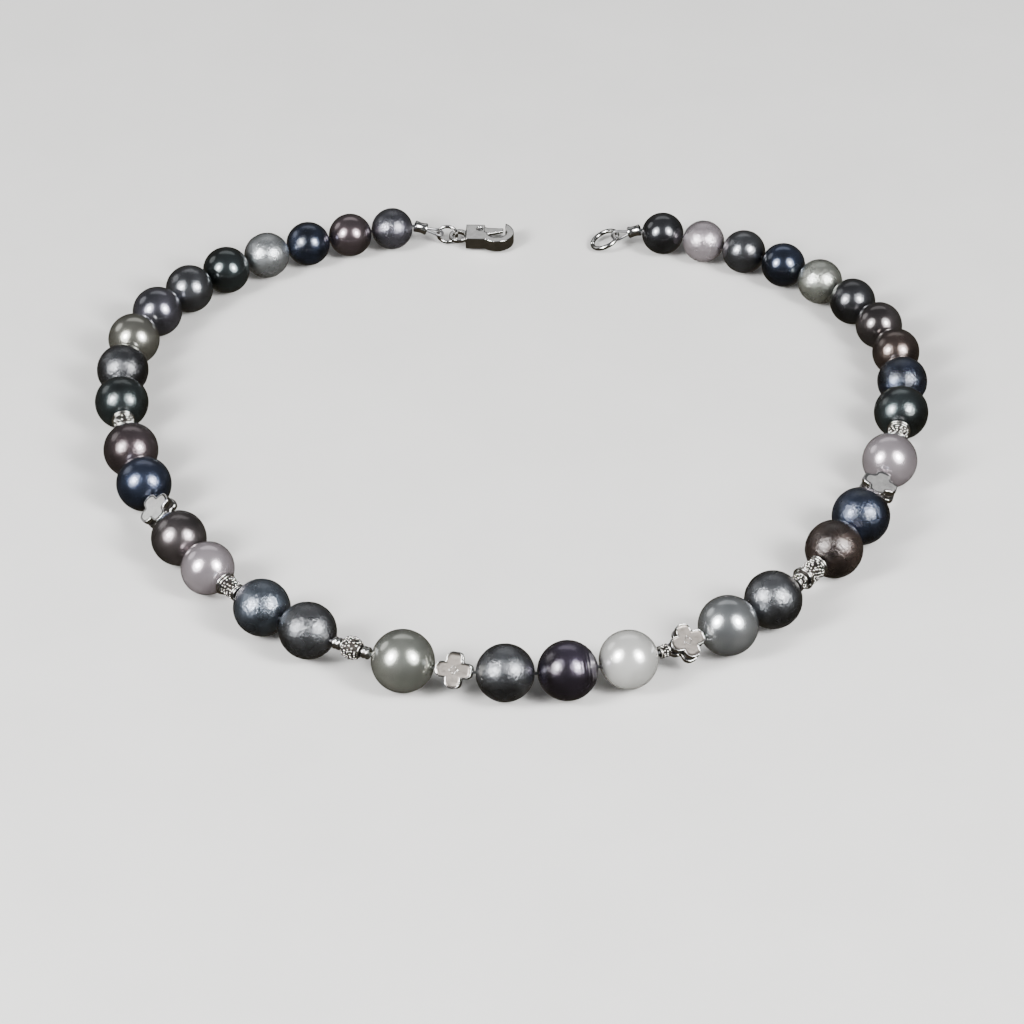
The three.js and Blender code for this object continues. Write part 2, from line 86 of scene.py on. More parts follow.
ENGRAVED_LOOP = {"radius": 0.62, "wave": 0.12, "wire": 0.055}
CRIMP = {"length": 2.4, "radius": 1.15, "bore": 0.78, "edge": 0.16, "pinch": 0.16}
CRIMP_WIRE = {"strand": 0.36, "inside": 0.3, "mouth": 0.2, "reach": 3.2, "end": 0.4}
LOOP_HALF = {"left": 0.9, "right": 1.0}  # half the width of the wire's loop
LINKS = {"jump_ring": (1.79, 0.32), "catch_ring": (2.58, 0.42)}  # radius and wire of each ring
CASTINGS = {"clasp_body": (0.11, 5), "clasp_lever": (0.09, 3)}  # voxel, and passes of smoothing
FLOOR_HALF = 3000.0

# ---- how finely the shapes are cut --------------------------------------------------------------
PEARL_RINGS = 76
PEARL_SIDES = 108
CORE_SIDES = 48
RIM_SIDES = 56
RIM_STEPS = 10
COLLAR_SIDES = 28
BALL_STEPS = 16
RING_SIDES = 44
RIDGE_STEPS = 8
CLOVER_SIDES = 128
CLOVER_CLOSING = 6  # steps from the edge of a clover's face to its middle
CLOVER_SEARCH = (0.6, 4.0)  # the outline lies between these radii
CLOVER_HALVINGS = 40
LOOP_POINTS = 40
LOOP_SIDES = 8
WIRE_SIDES = 14
CRIMP_SIDES = 40
CRIMP_STEPS = 3  # from the middle of a crimp to its end
WIRE_LOOP_STEPS = 24
LINK_STEPS = 96
LINK_SIDES = 20

# Degrees by which a clover's face rises from level, facing out of the loop.
CLOVER_RISE = {"clover_01": 50, "clover_02": 40, "clover_03": 60, "clover_04": 76}
CLOVER_WAIST = {"clover_01": 2.1, "clover_02": 2.0, "clover_03": 2.0, "clover_04": 2.35}
ENGRAVED = {"clover_02", "clover_03"}
LOBE_POWER = 2.7  # 2 is an ellipse, and more is squarer
NOTCH_BLEND = 14  # how sharply a lobe meets the notch
TAPERED_DRUM = "drum_02"
SMALL_END = 0.76  # of the drum's radius
RIDGE_HALF = 0.46  # of half the ring's length
WIRE_OVERLAP = 0.3  # of the wire's radius, past the middle of each gap
LINK_SEAM = math.radians(3)
LINK_SEAM_AT = math.radians(100)

# ---- how a bead's grains vary --------------------------------------------------------------------
GRAIN_RADIUS = 0.24
GRAIN_SPACING = 0.62
RONDELLE_SPACING = 0.6
FEWEST_GRAINS = 6
GRAIN_MISSING = 0.06  # share of the places left empty
GRAIN_SHIFT = 0.22  # round the bead, in places
GRAIN_STRAY = 0.16  # along the bead, in rows
GRAIN_SIZES = (0.72, 1.12)
GRAIN_RISE = (-0.35, 0.05)  # of its middle over the surface, in its own radius

# ---- colours: what lies between the highlights, and the overtone that drifts through it ---------
NACRE = {
    "slate": (0x5F6068, 0x92909E),
    "olive_silver": (0x8E8D84, 0xBCBBB1),
    "black": (0x38383B, 0x5E6064),
    "black_green": (0x363C3C, 0x5F6B6D),
    "aubergine": (0x5F5456, 0x94858A),
    "black_blue": (0x2C313B, 0x505C78),
    "grey_brown": (0x565151, 0x8A8283),
    "lavender": (0xBCB2B8, 0xDDD3D9),
    "blue_grey": (0x525962, 0x8590A0),
    "charcoal": (0x47484B, 0x7E8186),
    "silver_green": (0xA5A9A0, 0xCED1C7),
    "purple_black": (0x3C363D, 0x6A6176),
    "white_silver": (0xDCDCD8, 0xF0F0EC),
    "silver_grey": (0xA2A6A9, 0xCBCFD1),
    "dark_brown": (0x453C39, 0x7E6D66),
}
USUAL_METALLIC = 0.93
METALLIC = {"lavender": 0.8, "silver_green": 0.9, "white_silver": 0.6, "silver_grey": 0.9}

# Each pearl's skin: how uneven its shape is, how hammered it is, and how strongly it is ringed.
SMOOTH = (0.004, 0.0, 0.0)
SATIN = (0.005, 0.4, 0.0)
HAMMERED = (0.006, 1.0, 0.0)
WRINKLED = (0.012, 1.25, 0.25)
RINGED = (0.009, 0.45, 1.0)
LUMPY = (0.011, 0.05, 0.0)
SKIN_EDGE = 1.35  # how far from its axis the skin stops, in hole radii
WAVE_SPREAD = (0.7, 1.3)  # of the frequency, from wave to wave
SHAPE_WAVES = (2.2, 7)  # frequency over the ball, and how many waves
HAMMER_WAVES = (17, 26)
HAMMER_HEIGHT = 0.0016  # heights are shares of the pearl's radius
CRINKLE_WAVES = (38, 30)
CRINKLE_HEIGHT = 0.0007
RING_WAVES = (3, 5)
RING_WANDER = 0.5
RING_FREQUENCY = 46
RING_HEIGHT = 0.006
RINGS_FROM = 0.2  # along the pearl, from its middle
RINGS_GROW = 2.5
NARROW_FROM = 0.3
NARROWING = 0.02
DIMPLE_REACH = 0.26
DIMPLE_DEPTH = 0.011
SKIN = {
    7: SMOOTH, 8: SMOOTH, 9: HAMMERED, 10: SATIN, 11: SATIN, 12: SATIN, 13: SATIN, 14: LUMPY,
    15: HAMMERED, 16: WRINKLED, 17: SMOOTH, 18: HAMMERED, 19: RINGED, 20: LUMPY, 21: SMOOTH,
    22: HAMMERED, 23: HAMMERED, 24: HAMMERED, 25: SMOOTH, 26: SATIN, 27: HAMMERED, 28: SATIN,
    29: SMOOTH,
}
HIDDEN_SKINS = (SATIN, HAMMERED, SMOOTH)


# ---- mesh helpers ---------------------------------------------------------------------------------
def ring_faces(rings, sides, closed):
    """Quads between rings of the same number of points. closed joins the last ring to the first."""
    faces = []
    for i in range(rings if closed else rings - 1):
        a, b = i * sides, ((i + 1) % rings) * sides
        for j in range(sides):
            k = (j + 1) % sides
            faces.append((a + j, a + k, b + k, b + j))
    return faces


def lathe(profile, sides):
    """A closed turned body about X, from a closed loop of (along, radius) pairs."""
    turn = np.arange(sides) * 2 * math.pi / sides
    rings = [np.stack([np.full(sides, x), r * np.cos(turn), r * np.sin(turn)], 1) for x, r in profile]
    return np.concatenate(rings), ring_faces(len(profile), sides, True)


def sweep(points, radius, sides, closed=False):
    """A round tube along points, with flat ends unless it is closed."""
    points = [Vector(p) for p in points]
    count = len(points)
    side = None
    verts = []
    for i, p in enumerate(points):
        before = points[(i - 1) % count] if closed or i else p
        after = points[(i + 1) % count] if closed or i < count - 1 else p
        along = (after - before).normalized()
        side = side if side is not None else along.orthogonal()
        side = (side - along * side.dot(along)).normalized()
        other = along.cross(side)
        for j in range(sides):
            turn = 2 * math.pi * j / sides
            verts.append(p + (side * math.cos(turn) + other * math.sin(turn)) * radius)
    faces = ring_faces(count, sides, closed)
    if not closed:
        faces.append(tuple(range(sides - 1, -1, -1)))
        faces.append(tuple(range((count - 1) * sides, count * sides)))
    return np.array(verts), faces


def merge(*parts):
    """Several (verts, faces) bodies as one."""
    verts, faces, start = [], [], 0
    for v, f in parts:
        verts.append(v)
        faces += [tuple(i + start for i in face) for face in f]
        start += len(v)
    return np.concatenate(verts), faces


def icosphere():
    """A ball of radius 1 with 42 points and 80 triangles."""
    phi = (1 + math.sqrt(5)) / 2
    verts = [(-1, phi, 0), (1, phi, 0), (-1, -phi, 0), (1, -phi, 0), (0, -1, phi), (0, 1, phi)]
    verts += [(0, -1, -phi), (0, 1, -phi), (phi, 0, -1), (phi, 0, 1), (-phi, 0, -1), (-phi, 0, 1)]
    faces = [(0, 11, 5), (0, 5, 1), (0, 1, 7), (0, 7, 10), (0, 10, 11), (1, 5, 9), (5, 11, 4)]
    faces += [(11, 10, 2), (10, 7, 6), (7, 1, 8), (3, 9, 4), (3, 4, 2), (3, 2, 6), (3, 6, 8)]
    faces += [(3, 8, 9), (4, 9, 5), (2, 4, 11), (6, 2, 10), (8, 6, 7), (9, 8, 1)]
    verts = [Vector(v).normalized() for v in verts]
    middles, split = {}, []

    def middle(a, b):
        key = (min(a, b), max(a, b))
        if key not in middles:
            middles[key] = len(verts)
            verts.append(((verts[a] + verts[b]) / 2).normalized())
        return middles[key]

    for a, b, c in faces:
        ab, bc, ca = middle(a, b), middle(b, c), middle(c, a)
        split += [(a, ab, ca), (b, bc, ab), (c, ca, bc), (ab, bc, ca)]
    return np.array(verts), split


GRAIN = icosphere()


def grains(centres, radii):
    """Small silver balls as one body."""
    verts, faces = GRAIN
    return merge(*[(verts * r + np.array(c), faces) for c, r in zip(centres, radii)])


def place(name, shape, at, body, materials, nodes=(), shades=None):
    """Adds a shape made in millimetres about the origin. at is (middle, 3x3 basis) in the row frame."""
    verts, faces = shape
    middle, basis = at
    world = verts @ np.array(basis).T * MM + np.array(middle)
    mesh = bpy.data.meshes.new(name)
    mesh.from_pydata(world.tolist(), [], faces)
    mesh.polygons.foreach_set("use_smooth", np.ones(len(mesh.polygons), bool))
    for material in materials:
        mesh.materials.append(material)
    if shades is not None:
        mesh.polygons.foreach_set("material_index", np.array(shades, np.int32))
    piece = bpy.data.objects.new(name, mesh)
    bpy.context.scene.collection.objects.link(piece)
    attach(piece, body)
    if nodes:
        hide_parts(*nodes)
    return piece


# ---- materials ----------------------------------------------------------------------------------
def linear(hex_colour):
    """A colour of the screen as the light it stands for."""
    parts = [((hex_colour >> shift) & 255) / 255 for shift in (16, 8, 0)]
    return [p / 12.92 if p <= 0.04045 else ((p + 0.055) / 1.055) ** 2.4 for p in parts]


class Look:
    """A node material with one Principled shader, and textures in the piece's own coordinates."""

    def __init__(self, name, **values):
        self.material = bpy.data.materials.new(name)
        self.material.use_nodes = True
        self.tree = self.material.node_tree
        self.shader = next(n for n in self.tree.nodes if n.type == "BSDF_PRINCIPLED")
        self.where = self.tree.nodes.new("ShaderNodeTexCoord").outputs["Object"]
        for key, value in values.items():
            self.shader.inputs[key.replace("_", " ")].default_value = value

    def add(self, kind, **settings):
        node = self.tree.nodes.new("ShaderNode" + kind)
        for key, value in settings.items():
            setattr(node, key, value)
        return node

    def link(self, source, target):
        self.tree.links.new(source, target)

    def noise(self, per_metre, detail=3.0, roughness=0.55, distortion=0.0):
        node = self.add("TexNoise")
        self.link(self.where, node.inputs["Vector"])
        node.inputs["Scale"].default_value = per_metre
        node.inputs["Detail"].default_value = detail
        node.inputs["Roughness"].default_value = roughness
        node.inputs["Distortion"].default_value = distortion
        return node.outputs["Fac"]

    def cells(self, per_metre, smoothness=0.6):
        node = self.add("TexVoronoi", feature="SMOOTH_F1")
        self.link(self.where, node.inputs["Vector"])
        node.inputs["Scale"].default_value = per_metre
        node.inputs["Smoothness"].default_value = smoothness
        return node.outputs["Distance"]

    def ramp(self, factor, low, high, start=0.3, end=0.7):
        """factor between start and end, as a colour from low to high."""
        node = self.add("ValToRGB")
        self.link(factor, node.inputs["Fac"])
        node.color_ramp.elements[0].position = start
        node.color_ramp.elements[1].position = end
        node.color_ramp.elements[0].color = (*low, 1)
        node.color_ramp.elements[1].color = (*high, 1)
        return node.outputs["Color"]

    def spread(self, factor, low, high, start=0.3, end=0.7):
        """factor between start and end, as a number from low to high."""
        node = self.add("MapRange")
        self.link(factor, node.inputs["Value"])
        for key, value in (("From Min", start), ("From Max", end), ("To Min", low), ("To Max", high)):
            node.inputs[key].default_value = value
        return node.outputs["Result"]

    def bump(self, height, strength, depth_mm, under=None):
        node = self.add("Bump")
        self.link(height, node.inputs["Height"])
        node.inputs["Strength"].default_value = strength
        node.inputs["Distance"].default_value = depth_mm * MM
        if under is not None:
            self.link(under, node.inputs["Normal"])
        return node.outputs["Normal"]

    def finish(self, colour=None, roughness=None, normal=None, coat_normal=None):
        pairs = (("Base Color", colour), ("Roughness", roughness), ("Normal", normal))
        for key, source in (*pairs, ("Coat Normal", coat_normal)):
            if source is not None:
                self.link(source, self.shader.inputs[key])
        return self.material


def nacre(name, tone, hammered):
    """A pearl's skin under a clear coat: its colour drifts in clouds from the body's to the overtone.

    hammered is how strongly the skin is dented and wrinkled.
    """
    body, overtone = (linear(c) for c in NACRE[tone])
    look = Look(
        "nacre_" + name,
        Metallic=METALLIC.get(tone, USUAL_METALLIC),
        Coat_Weight=1.0,
        Coat_Roughness=0.12,
        Coat_IOR=1.7,
        Specular_IOR_Level=0.6,
    )
    clouds = look.noise(170, detail=1.2, roughness=0.4, distortion=0.6)
    colour = look.ramp(clouds, body, overtone, start=0.33, end=0.72)
    gloss = 0.19 + 0.06 * min(hammered, 1)
    roughness = look.spread(look.noise(350, detail=1.5), low=gloss, high=gloss + 0.06)
    dents = look.bump(look.cells(2000), strength=0.45 * hammered, depth_mm=0.09)
    fine = look.noise(2700, detail=4, roughness=0.6, distortion=1.6)
    wrinkles = look.bump(fine, strength=0.75 * hammered, depth_mm=0.07, under=dents)
    return look.finish(colour, roughness, wrinkles, wrinkles)


def silver(name, bright, roughness, scratch, grain_per_metre=1800):
    """Silver with handling marks and patches where the polish has dulled."""
    look = Look(name, Metallic=1.0, Specular_IOR_Level=0.5)
    dull = [c * DULLED for c in bright]
    patches = look.noise(420, detail=5, roughness=0.6)
    colour = look.ramp(patches, dull, bright, start=0.32, end=0.6)
    marks = look.noise(1400, detail=6, roughness=0.7)
    rough = look.spread(marks, low=roughness, high=roughness * ROUGHENED)
    grain = look.noise(grain_per_metre, detail=5, roughness=0.7, distortion=0.4)
    worn = look.bump(grain, strength=scratch, depth_mm=0.03)
    return look.finish(colour, rough, worn)


DULLED = 0.78  # of the bright colour
ROUGHENED = 2.2  # times the roughness of the best polished places
POLISHED = silver("polished_silver", (0.93, 0.92, 0.90), 0.07, 0.10)
GRAINED = silver("grained_silver", (0.92, 0.90, 0.86), 0.10, 0.12, 4200)
TARNISH = silver("tarnish", (0.07, 0.064, 0.058), 0.34, 0.5, 3000)
ENGRAVING = silver("engraving", (0.33, 0.30, 0.27), 0.26, 1.0, 2400)
STEEL = silver("steel_wire", (0.52, 0.52, 0.53), 0.24, 0.4, 5200)


# ---- where each bead lies, from the frame ---------------------------------------------------------
RECORD = frame["record"]
BODY_OF = {n: body for body, nodes in RECORD["behaviour"]["bodies"].items() for n in nodes}
SLOT_OF = {row["node"]: row["material_slot"] for row in RECORD["subparts"]}
UP = Vector((0, 0, 1))
JOINT_AT = {j["name"]: Vector(j["pos_m"]) for j in frame["joints"]}


def round_the_loop(p):
    """The turn from the front of the loop to a point, which grows towards the wearer's left."""
    return math.atan2(p.x, -p.y)


# The gaps' middles at both ends of each bead body.
bends = {}
for joint in frame["joints"]:
    if joint["name"].startswith("bend_"):
        for body in (joint["parent"], joint["child"]):
            bends.setdefault(body, []).append(Vector(joint["pos_m"]))
strand = {b: sorted(p, key=round_the_loop) for b, p in bends.items() if len(p) == 2}


def basis_of(along):
    """X along the strand, Z as near up as it can be, as columns."""
    x = along.normalized()
    y = UP.cross(x).normalized()
    return Matrix((x, y, x.cross(y))).transposed()


def bead_place(node):
    """(middle, basis, half length in mm) of a strung CAD node."""
    start, end = strand[BODY_OF[node]]
    along = (end - start).normalized()
    reach = [(v.co - start).dot(along) for v in frame["nodes"][node].data.vertices]
    middle = start + along * (min(reach) + max(reach)) / 2
    return middle, basis_of(along), (max(reach) - min(reach)) / 2 / MM


BEADS = [n for n in frame["nodes"] if n.split("_")[0] in ("pearl", "drum", "clover", "spacer")]
BEADS.sort()


# ---- pearls ------------------------------------------------------------------------------------
def waves(rng, directions, frequency, count):
    """Smooth seeded unevenness over directions, about 1 high."""
    ways = rng.normal(size=(count, 3))
    ways *= (frequency * rng.uniform(*WAVE_SPREAD, count) / np.linalg.norm(ways, axis=1))[:, None]
    return np.cos(directions @ ways.T + rng.uniform(0, 2 * math.pi, count)).sum(1) / math.sqrt(count / 2)


def pearl_shape(radius, skin, rng):
    """A drilled pearl about X: uneven, dented or ringed, with a soft lip and a bore at both ends."""
    uneven, hammered, ringed = skin
    first = math.asin(PEARL_HOLE * SKIN_EDGE / radius)
    lat = np.linspace(first, math.pi - first, PEARL_RINGS)
    lon = np.arange(PEARL_SIDES) * 2 * math.pi / PEARL_SIDES
    lats, lons = np.meshgrid(lat, lon, indexing="ij")
    unit = np.stack([-np.cos(lats), np.sin(lats) * np.cos(lons), np.sin(lats) * np.sin(lons)], -1)
    unit = unit.reshape(-1, 3)
    height = uneven * waves(rng, unit, *SHAPE_WAVES)
    height += HAMMER_HEIGHT * hammered * waves(rng, unit, *HAMMER_WAVES)
    height += CRINKLE_HEIGHT * hammered * waves(rng, unit, *CRINKLE_WAVES)
    x = unit[:, 0]
    grown = np.clip((x - RINGS_FROM) * RINGS_GROW, 0, 1)
    turned_ring = np.cos(RING_FREQUENCY * x + RING_WANDER * waves(rng, unit, *RING_WAVES)) * grown
    height += RING_HEIGHT * ringed * turned_ring
    height -= NARROWING * ringed * np.clip(x - NARROW_FROM, 0, 1)
    near_hole = np.clip(1 - np.hypot(unit[:, 1], unit[:, 2]) / DIMPLE_REACH, 0, 1)
    height -= DIMPLE_DEPTH * near_hole**2
    size = radius * (1 + height - height.max())
    rings = (unit * size[:, None]).reshape(PEARL_RINGS, PEARL_SIDES, 3)
    lips = []
    for ring, inward in ((rings[0], 1), (rings[-1], -1)):
        end = ring[:, 0].mean()
        lip = np.stack([np.full(PEARL_SIDES, end + inward * PEARL_LIP), ring[:, 1], ring[:, 2]], 1)
        lip[:, 1:] *= PEARL_HOLE / np.linalg.norm(lip[:, 1:], axis=1)[:, None]
        bottom = lip.copy()
        bottom[:, 0] = end + inward * PEARL_HOLE_DEPTH
        lips.append((bottom, lip))
    layers = [lips[0][0], lips[0][1], *rings, lips[1][1], lips[1][0]]
    faces = ring_faces(len(layers), PEARL_SIDES, False)
    faces.append(tuple(range(PEARL_SIDES - 1, -1, -1)))
    last = (len(layers) - 1) * PEARL_SIDES
    faces.append(tuple(range(last, last + PEARL_SIDES)))
    return np.concatenate(layers), [tuple(reversed(f)) for f in faces]


def add_pearl(node):
    middle, basis, half = bead_place(node)
    number = int(node.split("_")[1])
    rng = np.random.default_rng(SEED + number)
    skin = SKIN.get(number, HIDDEN_SKINS[number % len(HIDDEN_SKINS)])
    slot = SLOT_OF[node]
    material = nacre(node, slot.removeprefix("pearl_"), skin[1])
    shape = pearl_shape(math.hypot(half, DRILLED_FLAT), skin, rng)
    place(node + "_nacre", shape, (middle, basis), BODY_OF[node], [material], [node])


# ---- silver beads ------------------------------------------------------------------------------
def rim(x, radius, wire, sides=RIM_SIDES):
    """A round wire rim about X."""
    turn = [2 * math.pi * i / RIM_STEPS for i in range(RIM_STEPS)]
    return lathe([(x + wire * math.cos(t), radius + wire * math.sin(t)) for t in turn], sides)


def scatter(rng, reach, radius_at, spacing):
    """Grain middles and radii in uneven rows round X, sunk a little into the surface."""
    centres, radii = [], []
    rows = max(1, round((reach + reach) / spacing))
    for row in range(rows):
        x = -reach + (reach + reach) * (row + 0.5) / rows
        radius = radius_at(x)
        count = max(FEWEST_GRAINS, round(2 * math.pi * radius / spacing))
        for i in range(count):
            if rng.random() < GRAIN_MISSING:
                continue
            placed = i + 0.5 * (row % 2) + rng.uniform(-GRAIN_SHIFT, GRAIN_SHIFT)
            turn = 2 * math.pi * placed / count
            grain = GRAIN_RADIUS * rng.uniform(*GRAIN_SIZES)
            out = radius + grain * rng.uniform(*GRAIN_RISE)
            along = x + spacing * rng.uniform(-GRAIN_STRAY, GRAIN_STRAY)
            centres.append((along, out * math.cos(turn), out * math.sin(turn)))
            radii.append(grain)
    return centres, radii


def grained_bead(node, profile, rims, reach, radius_at, spacing):
    """A tarnished core with bright grains on it, reach to each side, and bright wire rims."""
    middle, basis, _ = bead_place(node)
    rng = np.random.default_rng(SEED + 100 + BEADS.index(node))
    core = lathe(profile[::-1], CORE_SIDES)
    grain = grains(*scatter(rng, reach, radius_at, spacing))
    bright = merge(grain, *rims)
    shape = merge(core, bright)
    shades = [1] * len(core[1]) + [0] * len(bright[1])
    place(node + "_grained", shape, (middle, basis), BODY_OF[node],
          [GRAINED, TARNISH], [node], shades)


def add_drum(node):
    half = bead_place(node)[2]
    start, end = 1.0, SMALL_END if node == TAPERED_DRUM else 1.0
    wire, second = DRUM["rim"], DRUM["second"]

    def outer(x):
        return DRUM["radius"] * (start + (end - start) * (x + half) / (2 * half))

    inset = half - 2 * wire - DRUM["gap"] - second
    core_half = half - DRUM["core_short"]
    profile = [(-core_half, METAL_BORE), (-core_half, outer(-half) - DRUM["core_in"])]
    profile += [(core_half, outer(half) - DRUM["core_in"]), (core_half, METAL_BORE)]
    rims = [rim(side * (half - wire), outer(side * half) - wire, wire) for side in (-1, 1)]
    for side in (-1, 1):
        rims.append(rim(side * inset, outer(side * inset) - DRUM["second_in"] - second, second))
    grained_bead(node, profile, rims, inset - second, lambda x: outer(x) - DRUM["grain_in"],
                 GRAIN_SPACING)


def add_ball(node):
    half = bead_place(node)[2]

    def outer(x):
        return math.sqrt(BALL["radius"] ** 2 - x * x)

    steps = [half * (2 * i / BALL_STEPS - 1) for i in range(BALL_STEPS + 1)]
    core = [(x, outer(x) - BALL["core_in"]) for x in steps]
    profile = [(-half, METAL_BORE), *core, (half, METAL_BORE)]
    wire = BALL["rim"]
    rims = [rim(side * (half - wire), outer(half) - BALL["rim_in"], wire) for side in (-1, 1)]
    reach = half - BALL["bare"]
    grained_bead(node, profile, rims, reach, lambda x: outer(x) - BALL["grain_in"], GRAIN_SPACING)


def add_rondelle(node):
    half = bead_place(node)[2]
    radius, wire = RONDELLE_RADIUS[node], RONDELLE["rim"]
    core = radius - RONDELLE["core_in"]
    profile = [(-half, METAL_BORE), (-half, core), (half, core), (half, METAL_BORE)]
    rims = [rim(side * (half - wire), radius - RONDELLE["rim_in"], wire) for side in (-1, 1)]
    grained_bead(node, profile, rims, half - 2 * wire, lambda x: radius - RONDELLE["grain_in"],
                 RONDELLE_SPACING)


def add_ring(node):
    """A thin tube with two rolled ridges."""
    middle, basis, half = bead_place(node)
    profile = [(half, METAL_BORE), (-half, METAL_BORE)]
    for ridge in (-1, 1):
        for i in range(RIDGE_STEPS + 1):
            t = math.pi * (1 - i / RIDGE_STEPS)
            x = ridge * half / 2 + half * RIDGE_HALF * math.cos(t)
            profile.append((x, RING["neck"] + RING["ridge"] * math.sin(t)))
    shape = lathe(profile[::-1], RING_SIDES)
    place(node + "_turned", shape, (middle, basis), BODY_OF[node], [POLISHED], [node])


def clover_outline(inset, waist):
    """Points round the four lobes, drawn in by inset. waist is how far out the notches come."""
    turns = np.arange(CLOVER_SIDES) * 2 * math.pi / CLOVER_SIDES
    lobe = (turns + math.pi / 4) % (math.pi / 2) - math.pi / 4
    low, high = (np.full(CLOVER_SIDES, radius) for radius in CLOVER_SEARCH)
    end, side = CLOVER["end"] - inset, CLOVER["side"] - inset
    for _ in range(CLOVER_HALVINGS):
        r = (low + high) / 2
        u, v = (r * np.cos(lobe) - CLOVER["offset"]) / end, r * np.sin(lobe) / side
        beyond = (np.abs(np.maximum(u, 0)) ** LOBE_POWER + np.abs(v) ** LOBE_POWER) > 1
        high, low = np.where(beyond, r, high), np.where(beyond, low, r)
    arm, disc = (low + high) / 2, waist - inset
    r = (arm**NOTCH_BLEND + disc**NOTCH_BLEND) ** (1 / NOTCH_BLEND)
    r -= CLOVER["wobble"] * (2 + np.sin(13 * turns + 1.1) + np.sin(29 * turns + 0.4))
    return np.stack([r * np.cos(turns), r * np.sin(turns)], 1)


def add_clover(node):
    """Four lobes with rimmed faces and a groove round the edge. Its face is the local Z.

    Each layer is a step of the edge, as (how far in, how high), from the lower face to the upper.
    """
    middle, basis, _ = bead_place(node)
    half, count, closing = CLOVER["half"], CLOVER_SIDES, CLOVER_CLOSING
    if node in ENGRAVED:
        face = [(0.06, half), (0.17, half), (0.22, half - 0.13)]
    else:
        face = [(0.10, half), (0.22, half), (0.26, half - 0.03)]
    top = [(0.0, half - 0.85), (0.0, half - 0.14), (0.04, half - 0.05), *face]
    groove = [(0.2, half - 0.95), (0.24, half - 1.1)]
    upper = [*groove, *top]
    layers = [(d, -h) for d, h in reversed(upper)] + upper
    waist, face_level = CLOVER_WAIST[node], layers[-1][1]
    rings = [np.column_stack([clover_outline(d, waist), np.full(count, h)]) for d, h in layers]
    inner = rings[-1]
    for i in range(1, closing):
        inner_ring = inner * np.array([1 - i / closing, 1 - i / closing, 1])
        rings.append(inner_ring)
        rings.insert(0, inner_ring * np.array([1, 1, -1]))
    faces = ring_faces(len(rings), count, False)
    faces.append(tuple(range(count - 1, -1, -1)))
    faces.append(tuple(range((len(rings) - 1) * count, len(rings) * count)))
    body = (np.concatenate(rings), faces)
    collar_at = CLOVER["offset"] + CLOVER["end"] - COLLAR["in"]
    collar = rim(collar_at, COLLAR["radius"], COLLAR["wire"], COLLAR_SIDES)
    back_collar = (collar[0] * np.array([-1, 1, 1]), [tuple(reversed(f)) for f in collar[1]])
    extras = [collar, back_collar]
    if node in ENGRAVED:
        turn = np.arange(LOOP_POINTS) * 2 * math.pi / LOOP_POINTS
        wave = ENGRAVED_LOOP["radius"] + ENGRAVED_LOOP["wave"] * np.cos(4 * turn)
        for level in (-face_level, face_level):
            level_row = np.full(LOOP_POINTS, level)
            loop = np.column_stack([wave * np.cos(turn), wave * np.sin(turn), level_row])
            extras.append(sweep(loop, ENGRAVED_LOOP["wire"], LOOP_SIDES, True))
    shape = merge(body, *extras)

    # Shades are 0 for polished, 1 for the matt face and 2 for the groove.
    shades = [0] * len(shape[1])
    dark = range(closing - 1 + len(top), len(rings) - closing - len(top))
    for i in dark:
        shades[i * count : (i + 1) * count] = [2] * count
    if node in ENGRAVED:
        for i in (*range(closing), *range(len(rings) - closing, len(rings) - 1)):
            shades[i * count : (i + 1) * count] = [1] * count
        shades[len(faces) - 2 : len(faces)] = [1, 1]
    rise = math.radians(CLOVER_RISE[node])
    x, y, z = (Vector(c) for c in basis.transposed())
    normal = z * math.sin(rise) - y * math.cos(rise)
    turned = Matrix((x, normal.cross(x), normal)).transposed()
    place(node + "_rimmed", shape, (middle, turned), BODY_OF[node],
          [POLISHED, ENGRAVING, TARNISH], [node], shades)


for node in BEADS:
    kind = node.split("_")[0]
    if kind == "pearl":
        add_pearl(node)
    elif kind == "drum":
        add_drum(node)
    elif kind == "clover":
        add_clover(node)
add_ring("spacer_01")
add_ball("spacer_02")
add_ring("spacer_03")
add_rondelle("spacer_04")
add_rondelle("spacer_05")


# ---- wire ----------------------------------------------------------------------------------------
IDENTITY = Matrix.Identity(3)


def add_wire(name, points, body, nodes=()):
    """A piece of the beading wire through points in metres in the row frame."""
    shape = sweep([p / MM for p in points], WIRE, WIRE_SIDES)
    place(name, shape, (Vector((0, 0, 0)), IDENTITY), body, [STEEL], nodes)


ROOT = BODY_OF["beading_wire"]
for body, (start, end) in strand.items():
    reach = (end - start).normalized() * WIRE * WIRE_OVERLAP * MM
    replaced = ["beading_wire"] if body == ROOT else ()
    add_wire(body + "_wire", [start - reach, end + reach], body, replaced)


# ---- the two ends ----------------------------------------------------------------------------------
ends = {"left": JOINT_AT["bend_crimp_left"], "right": JOINT_AT["bend_crimp_right"]}


def end_frame(side):
    """(start of the crimp, direction of its bore, level side direction)."""
    here, there = ends[side], ends["right" if side == "left" else "left"]
    level = (there - here) * Vector((1, 1, 0))
    start = here + level.normalized() * CRIMP_START * MM
    low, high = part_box("crimp_" + side)
    along = ((low + high) / 2 - start).normalized()
    return start, along, UP.cross(level).normalized()


